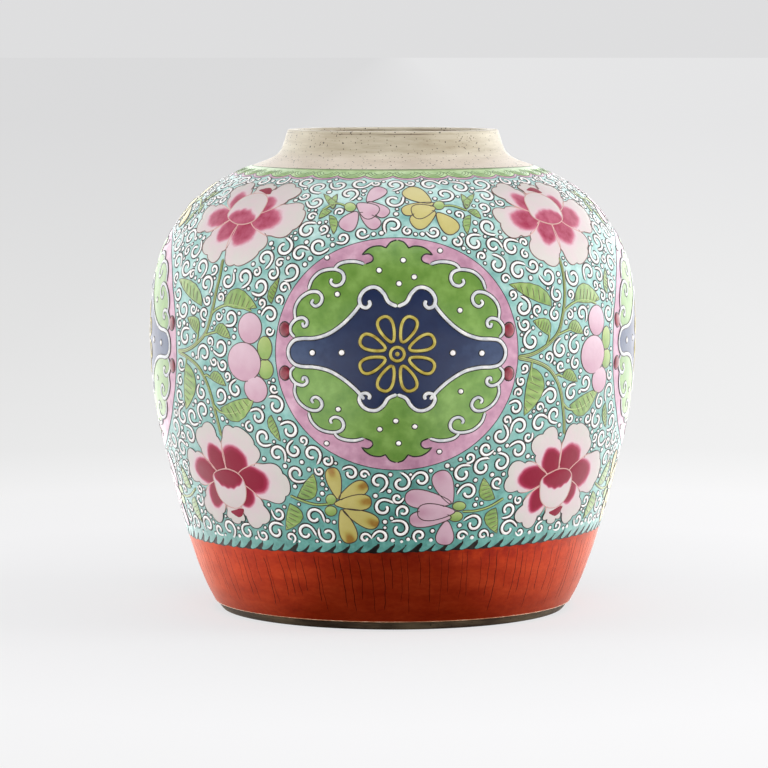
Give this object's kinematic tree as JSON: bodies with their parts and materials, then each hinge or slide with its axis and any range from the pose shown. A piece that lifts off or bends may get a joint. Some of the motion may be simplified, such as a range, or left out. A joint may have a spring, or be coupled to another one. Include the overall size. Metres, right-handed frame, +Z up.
{
  "type": "ginger jar",
  "caption": "Round-bellied porcelain jar with a wide mouth, low unglazed neck, foot ring and painted enamel decoration; stands free and holds dry goods.",
  "frame": {"origin": "centre of the plane that the foot ring stands on", "axes": "+Z up along the turning axis; -Y faces the picture's camera, through the middle of the front medallion"},
  "size_m": [0.202, 0.202, 0.2],
  "materials": {
    "turquoise_glaze": "gloss",
    "iron_red_glaze": "gloss",
    "neck_biscuit": "matte, unglazed",
    "foot_biscuit": "matte, dark iron-stained",
    "clear_glaze": "gloss",
    "white_enamel": "gloss, raised",
    "outline_enamel": "satin",
    "pink_enamel": "gloss",
    "peony_enamel": "gloss",
    "green_enamel": "gloss",
    "blue_enamel": "gloss",
    "yellow_enamel": "gloss"
  },
  "bodies": {
    "root": {"foot_and_base": "iron_red_glaze", "lower_body": "turquoise_glaze", "upper_body": "turquoise_glaze", "neck_collar": "neck_biscuit"}
  },
  "joints": []
}
